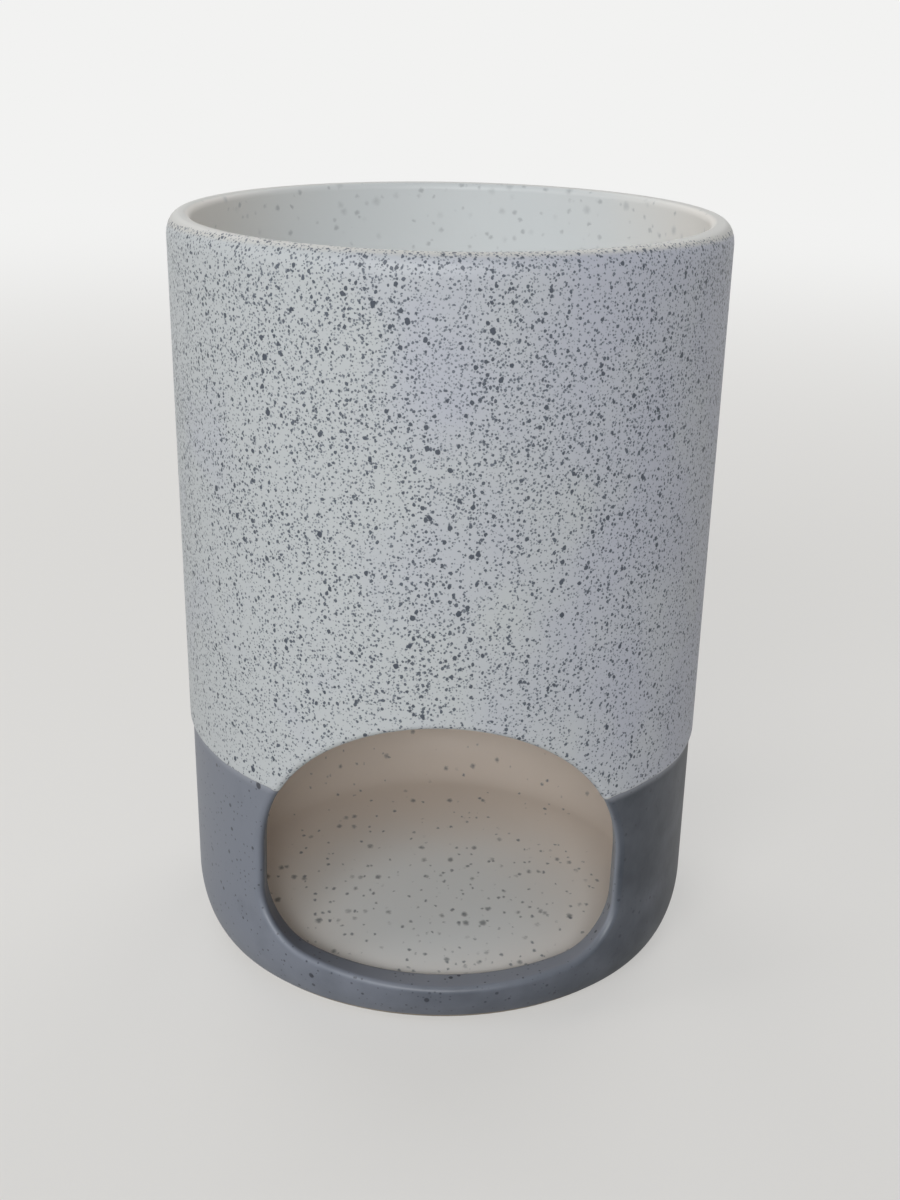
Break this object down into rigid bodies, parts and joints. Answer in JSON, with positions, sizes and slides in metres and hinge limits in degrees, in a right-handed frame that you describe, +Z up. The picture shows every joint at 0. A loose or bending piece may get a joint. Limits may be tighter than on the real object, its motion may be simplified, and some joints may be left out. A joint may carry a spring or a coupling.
{
  "type": "essential oil burner",
  "caption": "Round stoneware oil burner, pale speckled glaze above slate, with an arched window to a tealight chamber under a deep oil dish let into its top.",
  "frame": {"origin": "Middle of the foot ring's underside, on the pot's own axis, where it stands on a table", "axes": "+Z up along the axis of the pot, through the middle of the dish; the window faces -Y; +X is to the right as seen from the window's side"},
  "size_m": [0.08, 0.08, 0.1106],
  "materials": {
    "stoneware": "matte",
    "speckled_glaze": "satin",
    "slate_glaze": "satin",
    "liner_glaze": "satin"
  },
  "bodies": {
    "root": {"body_shell": "stoneware", "oil_dish": "stoneware", "slip_joint": "stoneware", "speckled_glaze": "speckled_glaze", "slate_glaze": "slate_glaze", "chamber_glaze": "liner_glaze", "dish_glaze": "liner_glaze"}
  },
  "joints": []
}
